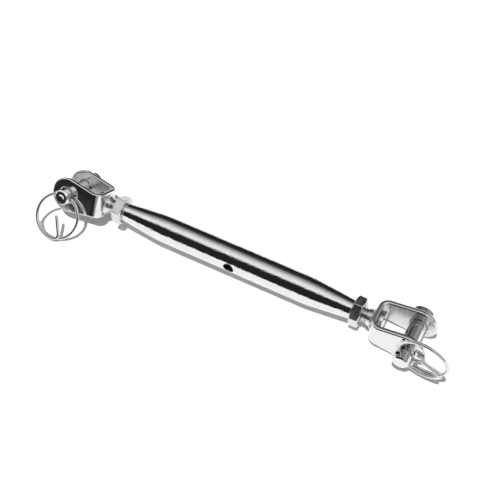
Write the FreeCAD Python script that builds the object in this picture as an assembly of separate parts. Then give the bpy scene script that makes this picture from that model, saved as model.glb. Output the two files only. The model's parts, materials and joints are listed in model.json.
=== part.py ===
import FreeCAD, Part

import os
from math import acos, atan2, cos, degrees, hypot, pi, radians, sin, sqrt, tan

from FreeCAD import Vector

os.makedirs("parts", exist_ok=True)

# Shroud adjuster: a closed-body rigging screw with a bent fork at each end.
# Millimetres. +X runs along the body towards the right fork, +Z is up, and the
# origin is the centre of the cross hole in the barrel, on the body's axis.

# Thread, shared by the barrel, the studs and the lock nuts
thread_diameter = 8.0
thread_pitch = 1.25
thread_play = 0.05

# Barrel: a drawn tube, swaged down to the tapped ends
barrel_length = 125.5
barrel_diameter = 14.0
barrel_end_diameter = 9.6
barrel_wall = 2.0
taper_length = 26.0
shoulder_radius = 80.0
tapped_length = 24.0
bore_step_length = 4.0
barrel_rim_round = 0.3
cross_hole_diameter = 5.5
cross_hole_round = 0.35

# Lock nuts: hexagons, chamfered on both faces
nut_across_flats = 13.0
nut_thickness = 5.0
nut_chamfer_angle = 30.0
nut_face_diameter = 12.4
nut_countersink = 0.35
nut_roll_angle = {"left": -3.4, "right": 10.4}

# Studs: threaded rods with a domed head welded inside the fork's base
stud_engagement = 52.0
stud_end_chamfer = 0.8
stud_head_diameter = 11.0
stud_head_thickness = 2.4

# Forks: strap blanks with round eyes, bent into a U
strap_thickness = 2.5
jaw_width = 13.0
bend_inner_radius = 2.5
base_width = 13.4
eye_diameter = 18.2
pin_from_base = 19.4
strap_edge_round = 0.6
fork_gap = {"left": 6.0, "right": 5.4}
fork_roll_angle = {"left": 28.4, "right": 0.0}

# Clevis pins: flat head on the far side, cross hole near the plain end
pin_diameter = 8.0
pin_play = 0.05
pin_head_diameter = 12.0
pin_head_thickness = 2.2
pin_head_chamfer = 0.5
pin_shank_length = 27.4
pin_end_chamfer = 0.7
ring_hole_diameter = 2.9
ring_hole_from_end = 3.4
ring_hole_from_ear = {"left": 1.4, "right": 4.0}
pin_turn_angle = {"left": 177.0, "right": 128.0}

# Cotter rings: sprung wire, a little over a turn, with a leg to the centre
ring_wire_diameter = 1.6
ring_mean_radius = 11.5
ring_coil_pitch = 1.75
ring_coil_angle = 440.0
ring_bend_radius = 2.0
ring_swing_angle = {"left": -72.0, "right": -83.0}
ring_leg_angle = {"left": 151.0, "right": 245.0}

# Worked out from the sizes above
sides = ("left", "right")
half_barrel = barrel_length / 2
bore_radius = thread_diameter / 2 + thread_play
jaw_half = jaw_width / 2
fork_half = jaw_half + strap_thickness
bend_outer_radius = bend_inner_radius + strap_thickness
eye_radius = eye_diameter / 2
origin = Vector(0, 0, 0)
axis_x = Vector(1, 0, 0)
axis_y = Vector(0, 1, 0)
axis_z = Vector(0, 0, 1)


def line(a, b):
    return Part.LineSegment(Vector(*a), Vector(*b)).toShape()


def arc(a, mid, b):
    return Part.Arc(Vector(*a), Vector(*mid), Vector(*b)).toShape()


def turned(profile):
    """A solid of revolution about X from points (x, radius), closed along the axis."""
    points = [Vector(x, radius, 0) for x, radius in profile]
    points = [Vector(profile[0][0], 0, 0)] + points + [Vector(profile[-1][0], 0, 0)]
    face = Part.Face(Part.makePolygon(points + points[:1]))
    return face.revolve(origin, axis_x, 360)


def fork_base_x(side):
    """Where the outer face of a fork's base lies, measured outwards from the origin."""
    return half_barrel + nut_thickness + fork_gap[side]


def pin_x(side):
    return fork_base_x(side) + pin_from_base


def to_end(shape, side, roll=0.0):
    """Carry a piece that was built at the right end to its own end, rolled about the body."""
    placed = shape.copy()
    if side == "left":
        placed.rotate(origin, axis_y, 180)
    placed.rotate(origin, axis_x, -roll)
    return placed


def shoulder_tangent():
    """The shoulder arc's centre, its end on the cone, and a point half way along it."""
    centre_x = half_barrel - taper_length
    centre_r = barrel_diameter / 2 - shoulder_radius
    run = taper_length
    rise = barrel_end_diameter / 2 - centre_r
    reach = hypot(run, rise)
    turn = atan2(run, rise) - acos(shoulder_radius / reach)
    end = (centre_x + shoulder_radius * sin(turn), centre_r + shoulder_radius * cos(turn))
    mid = (centre_x + shoulder_radius * sin(turn / 2), centre_r + shoulder_radius * cos(turn / 2))
    return end, mid


def make_barrel():
    radius = barrel_diameter / 2
    end_radius = barrel_end_diameter / 2
    shoulder_x = half_barrel - taper_length
    (cone_x, cone_r), (mid_x, mid_r) = shoulder_tangent()
    rim = barrel_rim_round
    edges = []
    for s in (1, -1):
        edges += [
            line((s * half_barrel, 0, 0), (s * half_barrel, end_radius - rim, 0)),
            line((s * half_barrel, end_radius - rim, 0), (s * (half_barrel - rim), end_radius, 0)),
            line((s * (half_barrel - rim), end_radius, 0), (s * cone_x, cone_r, 0)),
            arc((s * cone_x, cone_r, 0), (s * mid_x, mid_r, 0), (s * shoulder_x, radius, 0)),
        ]
    edges.append(line((-shoulder_x, radius, 0), (shoulder_x, radius, 0)))
    edges.append(line((-half_barrel, 0, 0), (half_barrel, 0, 0)))
    outline = Part.Wire(Part.__sortEdges__(edges))
    body = Part.Face(outline).revolve(origin, axis_x, 360)

    inner_radius = radius - barrel_wall
    step_x = half_barrel - tapped_length
    hollow = turned([
        (-half_barrel, bore_radius),
        (-step_x, bore_radius),
        (-step_x + bore_step_length, inner_radius),
        (step_x - bore_step_length, inner_radius),
        (step_x, bore_radius),
        (half_barrel, bore_radius),
    ])
    body = body.cut(hollow)

    hole_radius = cross_hole_diameter / 2
    hole = Part.makeCylinder(hole_radius, 2 * barrel_diameter, Vector(0, -barrel_diameter, 0), axis_y)
    body = body.cut(hole)
    rims = []
    for edge in body.Edges:
        box = edge.BoundBox
        reach = max(abs(box.YMin), abs(box.YMax))
        if box.XLength < cross_hole_diameter + 0.1 and abs(reach - radius) < 0.01 and box.XLength > 1:
            rims.append(edge)
    return body.makeFillet(cross_hole_round, rims)


def make_lock_nut(side):
    across_corners = nut_across_flats / cos(radians(30))
    corner_radius = across_corners / 2
    corners = []
    for i in range(7):
        angle = radians(60 * i)
        corners.append(Vector(0, corner_radius * sin(angle), corner_radius * cos(angle)))
    blank = Part.Face(Part.makePolygon(corners)).extrude(Vector(nut_thickness, 0, 0))

    face_radius = nut_face_diameter / 2
    chamfer = (corner_radius - face_radius) * tan(radians(nut_chamfer_angle))
    envelope = turned([
        (0, face_radius),
        (chamfer, corner_radius),
        (nut_thickness - chamfer, corner_radius),
        (nut_thickness, face_radius),
    ])
    sunk = bore_radius + nut_countersink
    bore = turned([
        (0, sunk),
        (nut_countersink, bore_radius),
        (nut_thickness - nut_countersink, bore_radius),
        (nut_thickness, sunk),
    ])
    nut = blank.common(envelope).cut(bore)
    nut.rotate(origin, axis_x, nut_roll_angle[side])
    nut.translate(Vector(half_barrel, 0, 0))
    return nut if side == "right" else nut.mirror(origin, axis_x)


def make_stud(side):
    """A threaded rod whose domed head seats on the flat between the fork's bends."""
    radius = thread_diameter / 2
    inner_x = half_barrel - stud_engagement
    seat_x = fork_base_x(side) + strap_thickness
    face_x = seat_x + stud_head_thickness
    head_radius = stud_head_diameter / 2
    seat_flat = max(radius, jaw_half - bend_inner_radius)
    seat_round = head_radius - seat_flat
    dome_round = stud_head_thickness - seat_round
    diagonal = 1 - sqrt(0.5)
    waist_x = seat_x + seat_round
    outline = [
        line((inner_x, 0, 0), (inner_x, radius - stud_end_chamfer, 0)),
        line((inner_x, radius - stud_end_chamfer, 0), (inner_x + stud_end_chamfer, radius, 0)),
        line((inner_x + stud_end_chamfer, radius, 0), (seat_x, radius, 0)),
        arc((seat_x, seat_flat, 0),
            (seat_x + seat_round * diagonal, head_radius - seat_round * diagonal, 0),
            (waist_x, head_radius, 0)),
        arc((waist_x, head_radius, 0),
            (face_x - dome_round * diagonal, head_radius - dome_round * diagonal, 0),
            (face_x, head_radius - dome_round, 0)),
        line((face_x, head_radius - dome_round, 0), (face_x, 0, 0)),
        line((face_x, 0, 0), (inner_x, 0, 0)),
    ]
    if seat_flat > radius:
        outline.append(line((seat_x, radius, 0), (seat_x, seat_flat, 0)))
    stud = Part.Face(Part.Wire(Part.__sortEdges__(outline))).revolve(origin, axis_x, 360)
    return to_end(stud, side, fork_roll_angle[side])


def strap_outline():
    """The fork's side view: straight tapered sides, tangent to a round eye on the pin's axis."""
    half = base_width / 2
    bend_x = bend_outer_radius
    centre_x = pin_from_base
    reach = hypot(centre_x - bend_x, half)
    lean = acos(eye_radius / reach)
    turn = pi - atan2(half, centre_x - bend_x) - lean
    touch_x = centre_x + eye_radius * cos(turn)
    touch_z = eye_radius * sin(turn)
    edges = [
        line((0, 0, -half), (0, 0, half)),
        line((0, 0, half), (bend_x, 0, half)),
        line((bend_x, 0, half), (touch_x, 0, touch_z)),
        arc((touch_x, 0, touch_z), (centre_x + eye_radius, 0, 0), (touch_x, 0, -touch_z)),
        line((touch_x, 0, -touch_z), (bend_x, 0, -half)),
        line((bend_x, 0, -half), (0, 0, -half)),
    ]
    return Part.Wire(edges)


def strap_section():
    """The bent strap seen along Z: a U with its base at x = 0."""
    tip = pin_from_base + eye_diameter
    diagonal = 1 - sqrt(0.5)
    outer, inner, wall = bend_outer_radius, bend_inner_radius, strap_thickness
    edges = [line((outer, fork_half, 0), (tip, fork_half, 0))]
    edges.append(line((tip, fork_half, 0), (tip, jaw_half, 0)))
    edges.append(line((tip, jaw_half, 0), (outer, jaw_half, 0)))
    edges.append(arc((outer, jaw_half, 0), (wall + inner * diagonal, jaw_half - inner * diagonal, 0),
                     (wall, jaw_half - inner, 0)))
    edges.append(line((wall, jaw_half - inner, 0), (wall, inner - jaw_half, 0)))
    edges.append(arc((wall, inner - jaw_half, 0), (wall + inner * diagonal, inner * diagonal - jaw_half, 0),
                     (outer, -jaw_half, 0)))
    edges.append(line((outer, -jaw_half, 0), (tip, -jaw_half, 0)))
    edges.append(line((tip, -jaw_half, 0), (tip, -fork_half, 0)))
    edges.append(line((tip, -fork_half, 0), (outer, -fork_half, 0)))
    edges.append(arc((outer, -fork_half, 0), (outer * diagonal, outer * diagonal - fork_half, 0),
                     (0, outer - fork_half, 0)))
    edges.append(line((0, outer - fork_half, 0), (0, fork_half - outer, 0)))
    edges.append(arc((0, fork_half - outer, 0), (outer * diagonal, fork_half - outer * diagonal, 0),
                     (outer, fork_half, 0)))
    return Part.Wire(edges)


def make_fork(side):
    side_view = Part.Face(strap_outline()).extrude(Vector(0, 4 * fork_half, 0))
    side_view.translate(Vector(0, -2 * fork_half, 0))
    bent = Part.Face(strap_section()).extrude(Vector(0, 0, 2 * eye_diameter))
    bent.translate(Vector(0, 0, -eye_diameter))
    strap = bent.common(side_view)
    strap = round_strap(strap)

    pin_hole_radius = pin_diameter / 2 + pin_play
    pin_hole = Part.makeCylinder(pin_hole_radius, 4 * fork_half, Vector(pin_from_base, -2 * fork_half, 0), axis_y)
    stud_hole = Part.makeCylinder(bore_radius, 3 * strap_thickness, Vector(-strap_thickness, 0, 0), axis_x)
    strap = strap.cut(pin_hole).cut(stud_hole)
    strap.translate(Vector(fork_base_x(side), 0, 0))
    return to_end(strap, side, fork_roll_angle[side])


def round_strap(strap):
    """Round the edges that run round the blank's outline, inside and outside the bend."""
    outline_edges = []
    for edge in strap.Edges:
        box = edge.BoundBox
        across_strap = abs(edge.Length - strap_thickness) < 0.01
        across_blank = box.XLength < 0.01 and box.YLength < 0.01
        along_base = box.XLength < 0.01 and box.ZLength < 0.01
        if along_base or not (across_strap or across_blank):
            outline_edges.append(edge)
    return strap.makeFillet(strap_edge_round, outline_edges)


def head_gap(side):
    """The play between a pin's head and the far ear."""
    return pin_shank_length - 2 * fork_half - ring_hole_from_ear[side] - ring_hole_from_end


def make_clevis_pin(side):
    radius = pin_diameter / 2
    head_radius = pin_head_diameter / 2
    seat = fork_half + head_gap(side)
    end = seat - pin_shank_length
    top = seat + pin_head_thickness
    pin = turned([
        (end, radius - pin_end_chamfer),
        (end + pin_end_chamfer, radius),
        (seat, radius),
        (seat, head_radius),
        (top - pin_head_chamfer, head_radius),
        (top, head_radius - pin_head_chamfer),
    ])
    pin.rotate(origin, axis_z, 90)
    turn = radians(pin_turn_angle[side])
    direction = Vector(cos(turn), 0, sin(turn))
    hole_y = -fork_half - ring_hole_from_ear[side]
    start = Vector(0, hole_y, 0) - direction * pin_diameter
    hole = Part.makeCylinder(ring_hole_diameter / 2, 2 * pin_diameter, start, direction)
    pin = pin.cut(hole)
    pin.translate(Vector(pin_x(side), 0, 0))
    return to_end(pin, side, fork_roll_angle[side])


def coil_at_leg():
    """The sprung ring about +Z, its leg along +X at z = 0 and its coil rising from there."""
    radius = ring_mean_radius
    bend = ring_bend_radius
    bend_turn = acos(-bend / (radius - bend))
    start_angle = degrees(bend_turn) - 90
    start_z = ring_coil_pitch * start_angle / 360
    coil_turn = ring_coil_angle - start_angle
    helix = Part.makeHelix(ring_coil_pitch, ring_coil_pitch * coil_turn / 360, radius)
    helix.rotate(origin, axis_z, start_angle)
    helix.translate(Vector(0, 0, start_z))

    angle = radians(start_angle)
    outward = Vector(cos(angle), sin(angle), 0)
    slope = ring_coil_pitch / (2 * pi * radius)
    along = Vector(-sin(angle), cos(angle), slope).normalize()
    start = outward * radius + Vector(0, 0, start_z)

    def on_bend(turn):
        return start - along * (bend * sin(turn)) - outward * (bend * (1 - cos(turn)))

    leg_top = on_bend(bend_turn)
    leg_way = (-along * cos(bend_turn) - outward * sin(bend_turn)).normalize()
    leg_end = leg_top + leg_way * hypot(leg_top.x, leg_top.y)
    edges = [Part.LineSegment(leg_end, leg_top).toShape()]
    edges.append(Part.Arc(leg_top, on_bend(bend_turn / 2), start).toShape())
    edges += helix.Edges
    path = Part.Wire(edges)
    section = Part.Wire([Part.makeCircle(ring_wire_diameter / 2, leg_end, leg_way * -1)])
    wire = path.makePipeShell([section], True, True)
    return wire


def make_cotter_ring(side):
    """The ring, put through the pin's cross hole, which bends with it to half its sagitta."""
    radius = ring_mean_radius
    half_bore = pin_diameter / 2
    sagitta = radius - sqrt(radius ** 2 - half_bore ** 2)
    turn = radians(pin_turn_angle[side])
    swing = radians(ring_swing_angle[side])
    through = Vector(cos(turn), 0, sin(turn))
    across = Vector(-sin(turn), 0, cos(turn))
    inward = Vector(0, -cos(swing), 0) + across * sin(swing)
    outward = inward * -1
    normal = outward.cross(through)
    crossing = Vector(pin_x(side), -fork_half - ring_hole_from_ear[side], 0)
    centre = crossing + inward * (radius - sagitta / 2)
    lead = ring_leg_angle[side]
    depth = ring_coil_pitch * (360 - lead) / 360

    ring = coil_at_leg()
    ring.rotate(origin, axis_z, lead)
    ring.translate(Vector(0, 0, -depth))
    matrix = FreeCAD.Matrix(
        outward.x, through.x, normal.x, centre.x,
        outward.y, through.y, normal.y, centre.y,
        outward.z, through.z, normal.z, centre.z,
        0, 0, 0, 1,
    )
    ring.transformShape(matrix)
    return to_end(ring, side, fork_roll_angle[side])


shapes = {"barrel": make_barrel()}
for side in sides:
    shapes[side + "_lock_nut"] = make_lock_nut(side)
    shapes[side + "_stud"] = make_stud(side)
    shapes[side + "_fork"] = make_fork(side)
    shapes[side + "_clevis_pin"] = make_clevis_pin(side)
    shapes[side + "_cotter_ring"] = make_cotter_ring(side)

for name, shape in shapes.items():
    shape.exportStep("parts/" + name + ".step")
    print(name, shape.isValid(), len(shape.Solids), round(shape.Volume, 2), shape.BoundBox)
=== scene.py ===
"""Shroud adjuster: a closed-body rigging screw with a fork, pin and sprung ring at each end.

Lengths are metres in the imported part's own frame: +X runs along the barrel to the right fork, +Z is
up and the origin is the middle of the barrel. The pieces of an end are made in that end's axes, x
outwards along the barrel and y along the clevis pin towards its head, and are then put in place.
"""

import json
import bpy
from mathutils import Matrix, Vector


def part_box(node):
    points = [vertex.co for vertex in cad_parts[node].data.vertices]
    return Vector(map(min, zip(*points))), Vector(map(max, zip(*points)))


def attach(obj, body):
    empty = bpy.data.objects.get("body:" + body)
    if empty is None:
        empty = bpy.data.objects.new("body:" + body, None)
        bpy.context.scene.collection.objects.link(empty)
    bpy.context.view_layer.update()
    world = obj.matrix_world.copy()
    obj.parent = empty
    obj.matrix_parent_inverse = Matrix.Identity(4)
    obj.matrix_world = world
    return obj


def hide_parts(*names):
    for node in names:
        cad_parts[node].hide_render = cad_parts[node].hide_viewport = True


bl_info = {
    "name": "Shroud Adjuster",
    "version": (1, 0, 0),
    "blender": (4, 5, 0),
    "location": "View3D > Sidebar > Rigging",
    "description": "Polished barrel, lock nuts, threaded studs, forks, clevis pins and cotter rings",
    "category": "Object",
}

from math import acos, asin, atan2, ceil, cos, floor, hypot, pi, radians, sin, sqrt, tan

import bpy
from bpy.props import FloatProperty, FloatVectorProperty, IntProperty, PointerProperty
from mathutils import Matrix, Vector
from mathutils.geometry import delaunay_2d_cdt

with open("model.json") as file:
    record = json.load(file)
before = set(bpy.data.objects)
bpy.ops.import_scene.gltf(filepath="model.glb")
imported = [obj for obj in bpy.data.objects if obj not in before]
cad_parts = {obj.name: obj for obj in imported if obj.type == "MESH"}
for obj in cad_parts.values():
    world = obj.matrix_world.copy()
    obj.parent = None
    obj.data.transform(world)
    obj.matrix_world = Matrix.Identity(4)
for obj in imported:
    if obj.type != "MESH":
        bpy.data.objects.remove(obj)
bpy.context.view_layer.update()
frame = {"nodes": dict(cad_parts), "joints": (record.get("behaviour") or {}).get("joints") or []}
joints = {joint["name"]: joint for joint in frame["joints"]}

SIDES = ("left", "right")
EPSILON = 1e-9
NEAR = 1e-7


# What a user may change

def length(name, description, default):
    return FloatProperty(name=name, description=description, default=default, min=0.0,
                         precision=5, subtype="DISTANCE", unit="LENGTH")


def angle(name, description, default):
    return FloatProperty(name=name, description=description, default=radians(default),
                         subtype="ANGLE", unit="ROTATION")


def share(name, description, default, top=1.0):
    return FloatProperty(name=name, description=description, default=default, min=0.0, max=top,
                         subtype="FACTOR")


def number(name, description, default):
    return FloatProperty(name=name, description=description, default=default, min=0.0)


def count(name, description, default):
    return IntProperty(name=name, description=description, default=default, min=3)


def colour(name, description, default):
    return FloatVectorProperty(name=name, description=description, default=default, size=3,
                               min=0.0, max=1.0, subtype="COLOR")


def point(name, description, default):
    return FloatVectorProperty(name=name, description=description, default=default, size=3,
                               subtype="TRANSLATION", unit="LENGTH")


def node_span(node, axis):
    low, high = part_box(node)
    return high[axis] - low[axis]


class ThreadSizes(bpy.types.PropertyGroup):
    diameter: length("Diameter", "Across the crests of the stud's thread", 0.008)
    pitch: length("Pitch", "Travel in one turn", 0.00125)
    play: length("Play", "Gap between a stud and the hole it runs in", 0.00005)
    weld_diameter: length("Weld diameter", "Across the bead where a stud meets its fork", 0.0126)
    weld_length: length("Weld length", "How far the bead runs along the stud", 0.0026)
    head_diameter: length("Head diameter", "Across the stud's head in the fork", 0.011)
    head_thickness: length("Head thickness", "Height of the stud's head", 0.0024)
    columns: count("Columns", "Faces round one turn of thread", 56)


class BarrelSizes(bpy.types.PropertyGroup):
    length: length("Length", "From end to end", node_span("barrel", 0))
    diameter: length("Diameter", "Across the middle", node_span("barrel", 2))
    end_diameter: length("End diameter", "Across the swaged ends", 0.0096)
    wall: length("Wall", "Thickness of the tube's middle", 0.002)
    taper: length("Taper", "Length of each swaged end", 0.026)
    shoulder_radius: length("Shoulder radius", "Where the tube turns into its taper", 0.08)
    tapped_depth: length("Tapped depth", "Length of the thread in each end", 0.024)
    hole_diameter: length("Hole", "Across the hole for the tommy bar", 0.0055)
    hole_round: length("Hole rim", "Rounding of the hole's rim", 0.00035)
    columns: count("Columns", "Faces round the barrel", 144)


class NutSizes(bpy.types.PropertyGroup):
    across_flats: length("Across flats", "Width of the hexagon", 0.013)
    thickness: length("Thickness", "Height of the nut", 0.005)
    face_diameter: length("Face diameter", "Across the flat washer face", 0.0124)
    corner_round: length("Corner round", "Rounding of the upright corners", 0.0005)
    edge_round: length("Edge round", "Rounding of the chamfer's edges", 0.00028)
    countersink: length("Countersink", "Chamfer at each mouth of the thread", 0.00035)
    left_roll: angle("Left roll", "Turn of the left nut on its stud", -3.4)
    right_roll: angle("Right roll", "Turn of the right nut on its stud", 10.4)


class ForkSizes(bpy.types.PropertyGroup):
    strap: length("Strap", "Thickness of the strap", 0.0025)
    jaw: length("Jaw", "Gap between the ears", 0.013)
    bend_radius: length("Bend radius", "Inside radius of the two bends", 0.0025)
    base_width: length("Base width", "Width of the strap across its base", 0.0134)
    eye_diameter: length("Eye diameter", "Across the round end of an ear", 0.0182)
    pin_reach: length("Pin reach", "From the base's outer face to the pin's axis", 0.0194)
    edge_round: length("Edge round", "Rounding of the strap's edges", 0.001)
    pin_hole_round: length("Pin hole rim", "Rounding of the pin holes' rims", 0.0007)
    stud_hole_round: length("Stud hole rim", "Rounding of the stud hole's rim", 0.0002)


class PinSizes(bpy.types.PropertyGroup):
    diameter: length("Diameter", "Across the shank", 0.008)
    play: length("Play", "Gap between the pin and the ears", 0.00005)
    head_diameter: length("Head diameter", "Across the head", 0.012)
    head_thickness: length("Head thickness", "Height of the head", 0.0022)
    head_round: length("Head round", "Rounding of the head's rim", 0.0007)
    shank: length("Shank", "From the head's underside to the plain end", 0.0274)
    end_chamfer: length("End chamfer", "Chamfer at the plain end", 0.0007)
    dimple_diameter: length("Dimple", "Across the turning mark in the plain end", 0.0034)
    dimple_depth: length("Dimple depth", "Depth of the turning mark", 0.00007)
    hole_diameter: length("Cross hole", "Across the hole for the ring", 0.0029)
    hole_from_end: length("Hole from end", "From the cross hole to the plain end", 0.0034)
    columns: count("Columns", "Faces round the pin", 96)


class RingSizes(bpy.types.PropertyGroup):
    wire: length("Wire", "Across the wire", 0.0016)
    radius: length("Radius", "Of the coil, to the middle of the wire", 0.0115)
    pitch: length("Pitch", "Rise of the coil in one turn", 0.00175)
    turn: angle("Turn", "How far the wire goes round", 440.0)
    bend_radius: length("Bend radius", "Where the leg leaves the coil", 0.002)
    left_swing: angle("Left swing", "Lean of the left ring from its pin's line", -72.0)
    right_swing: angle("Right swing", "Lean of the right ring from its pin's line", -83.0)
    left_leg: angle("Left leg", "Where the left ring's leg is, from its pin", 151.0)
    right_leg: angle("Right leg", "Where the right ring's leg is, from its pin", 245.0)


class FinishSettings(bpy.types.PropertyGroup):
    steel: colour("Steel", "Polished stainless steel", (0.80, 0.80, 0.80))
    cut_steel: colour("Turned steel", "Steel left as the tool cut it", (0.72, 0.72, 0.72))
    wire_steel: colour("Wire", "Drawn spring wire", (0.74, 0.74, 0.74))
    gloss: share("Gloss", "Roughness of the buffed tube and the wire", 0.035)
    fork_gloss: share("Fork gloss", "Roughness of the forks", 0.07)
    inner_gloss: share("Inner gloss", "Roughness of the forks' inner faces", 0.3)
    nut_gloss: share("Nut gloss", "Roughness of the lock nuts", 0.28)
    pin_gloss: share("Pin gloss", "Roughness of the clevis pins", 0.06)
    cut_gloss: share("Thread gloss", "Roughness of the studs", 0.16)
    ripple: share("Ripple", "Depth of the buffing marks", 0.12)


class StageSettings(bpy.types.PropertyGroup):
    azimuth: angle("Azimuth", "The camera's bearing round the object", 28.15)
    elevation: angle("Elevation", "The camera's height above the horizon", 52.6)
    distance: length("Distance", "From the camera to its target", 0.4005)
    target: point("Target", "What the camera looks at", (0.00837, 0.0, 0.012))
    lens: number("Lens", "Focal length in millimetres for a 36 mm sensor", 61.06)
    floor: colour("Floor", "The table top", (0.92, 0.92, 0.92))
    sun: number("Key light", "Strength of the light from overhead", 2.9)
    lean: angle("Lean", "How far the key light leans from overhead towards the near side", 17.0)
    fill: number("Fill light", "Strength of the light all round", 0.33)
    room: number("Room", "Strength of the room that the steel reflects", 1.0)
    floor_near: length("Table, near", "From the barrel to the table's near edge", 0.165)
    floor_far: length("Table, far", "From the barrel to the table's other edges", 0.6)


class ShroudAdjuster(bpy.types.PropertyGroup):
    thread: PointerProperty(type=ThreadSizes)
    barrel: PointerProperty(type=BarrelSizes)
    nut: PointerProperty(type=NutSizes)
    fork: PointerProperty(type=ForkSizes)
    pin: PointerProperty(type=PinSizes)
    ring: PointerProperty(type=RingSizes)
    finish: PointerProperty(type=FinishSettings)
    stage: PointerProperty(type=StageSettings)


def settings():
    return bpy.context.scene.shroud_adjuster


# Surfaces with a true normal at every corner

class Skin:
    """Points and faces of closed shells, with the surface's own normal at each face's corners."""

    def __init__(self):
        self.points = []
        self.faces = []
        self.normals = []

    def add(self, place):
        self.points.append(Vector(place))
        return len(self.points) - 1

    def face(self, corners, normals):
        kept = [i for i, corner in enumerate(corners) if corner != corners[i - 1]]
        if len(kept) < 3:
            return
        corners = [corners[i] for i in kept]
        normals = [Vector(normals[i]) for i in kept]
        a, b, c = (self.points[corners[i]] for i in (0, 1, 2))
        flat = (b - a).cross(c - a)
        if len(corners) == 4:
            flat = (c - a).cross(self.points[corners[3]] - b)
        if flat.dot(sum(normals, Vector())) < 0:
            corners.reverse()
            normals.reverse()
        self.faces.append(corners)
        self.normals.append(normals)

    def bridge(self, loop, other, loop_normals, other_normals):
        """Quads between two closed loops of as many points."""
        for i in range(len(loop)):
            normals = [loop_normals[i - 1], loop_normals[i], other_normals[i], other_normals[i - 1]]
            self.face([loop[i - 1], loop[i], other[i], other[i - 1]], normals)

    def build(self, name, place, material):
        mesh = bpy.data.meshes.new(name)
        mesh.from_pydata([place @ p for p in self.points], [], self.faces)
        mesh.polygons.foreach_set("use_smooth", [True] * len(self.faces))
        turn = place.to_3x3()
        normals = [(turn @ normal).normalized() for face in self.normals for normal in face]
        mesh.normals_split_custom_set(normals)
        mesh.materials.append(material)
        piece = bpy.data.objects.new(name, mesh)
        bpy.context.scene.collection.objects.link(piece)
        return piece


class Station:
    """A point of a turned outline, with the outline's normal just before and just after it."""

    def __init__(self, x, r, before, after):
        self.x, self.r, self.before, self.after = x, r, before, after


def add_station(stations, new):
    if stations and hypot(new.x - stations[-1].x, new.r - stations[-1].r) < NEAR:
        stations[-1].after = new.after
    else:
        stations.append(new)


def outline(corners, closed=False, steps=5):
    """Stations along a polygon of (x, radius, rounding), the surface being on its left."""
    stations = []
    last = len(corners) - 1
    for i, (x, r, rounding) in enumerate(corners):
        here = Vector((x, r))
        back = here - Vector(corners[i - 1][:2])
        ahead = Vector(corners[(i + 1) % len(corners)][:2]) - here
        if not closed and i == 0:
            back = ahead
        if not closed and i == last:
            ahead = back
        back, ahead = back.normalized(), ahead.normalized()
        before, after = Vector((-back.y, back.x)), Vector((-ahead.y, ahead.x))
        turn = atan2(back.x * ahead.y - back.y * ahead.x, back.dot(ahead))
        if rounding < EPSILON or abs(turn) < EPSILON:
            add_station(stations, Station(x, r, before, after))
            continue
        hollow = 1 if turn > 0 else -1
        start = here - back * rounding * tan(abs(turn) / 2)
        centre = start + before * rounding * hollow
        for step in range(steps + 1):
            part = turn * step / steps
            normal = Vector((before.x * cos(part) - before.y * sin(part),
                             before.x * sin(part) + before.y * cos(part)))
            spot = centre - normal * rounding * hollow
            add_station(stations, Station(spot.x, spot.y, normal, normal))
    return stations


def divided(stations, start, end, parts):
    """The same outline with evenly spaced stations from start to end of a plain cylinder's run."""
    for i in range(len(stations) - 1):
        low, high = sorted((stations[i].x, stations[i + 1].x))
        level = abs(stations[i].r - stations[i + 1].r) < EPSILON
        if level and low < min(start, end) and high > max(start, end):
            r, normal = stations[i].r, stations[i].after
            ahead = 1 if stations[i + 1].x > stations[i].x else -1
            first, last = (start, end) if ahead > 0 else (end, start)
            extra = [Station(first + (last - first) * k / parts, r, normal, normal)
                     for k in range(parts + 1)]
            return stations[:i + 1] + extra + stations[i + 1:], i + 1
    raise ValueError("the outline has no plain run there")


def ring_point(x, r, turn):
    return Vector((x, r * cos(turn), r * sin(turn)))


def turned(skin, stations, columns, start=0.0, closed=False, openings=()):
    """Turns an outline about X. An opening leaves out (first row, rows, first column, columns)."""
    angles = [start + 2 * pi * k / columns for k in range(columns)]
    rows = []
    for s in stations:
        if s.r < EPSILON:
            rows.append([skin.add((s.x, 0, 0))] * columns)
        else:
            rows.append([skin.add(ring_point(s.x, s.r, a)) for a in angles])
    left_out = {(row + i, (col + k) % columns) for row, n_rows, col, n_cols in openings
                for i in range(n_rows) for k in range(n_cols)}
    for i in range(len(stations) if closed else len(stations) - 1):
        j = (i + 1) % len(stations)
        near, far = stations[i].after, stations[j].before
        for k in range(columns):
            if (i, k) in left_out:
                continue
            m = (k + 1) % columns
            skin.face([rows[i][k], rows[i][m], rows[j][m], rows[j][k]],
                      [ring_point(near.x, near.y, angles[k]), ring_point(near.x, near.y, angles[m]),
                       ring_point(far.x, far.y, angles[m]), ring_point(far.x, far.y, angles[k])])
    return rows


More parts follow.
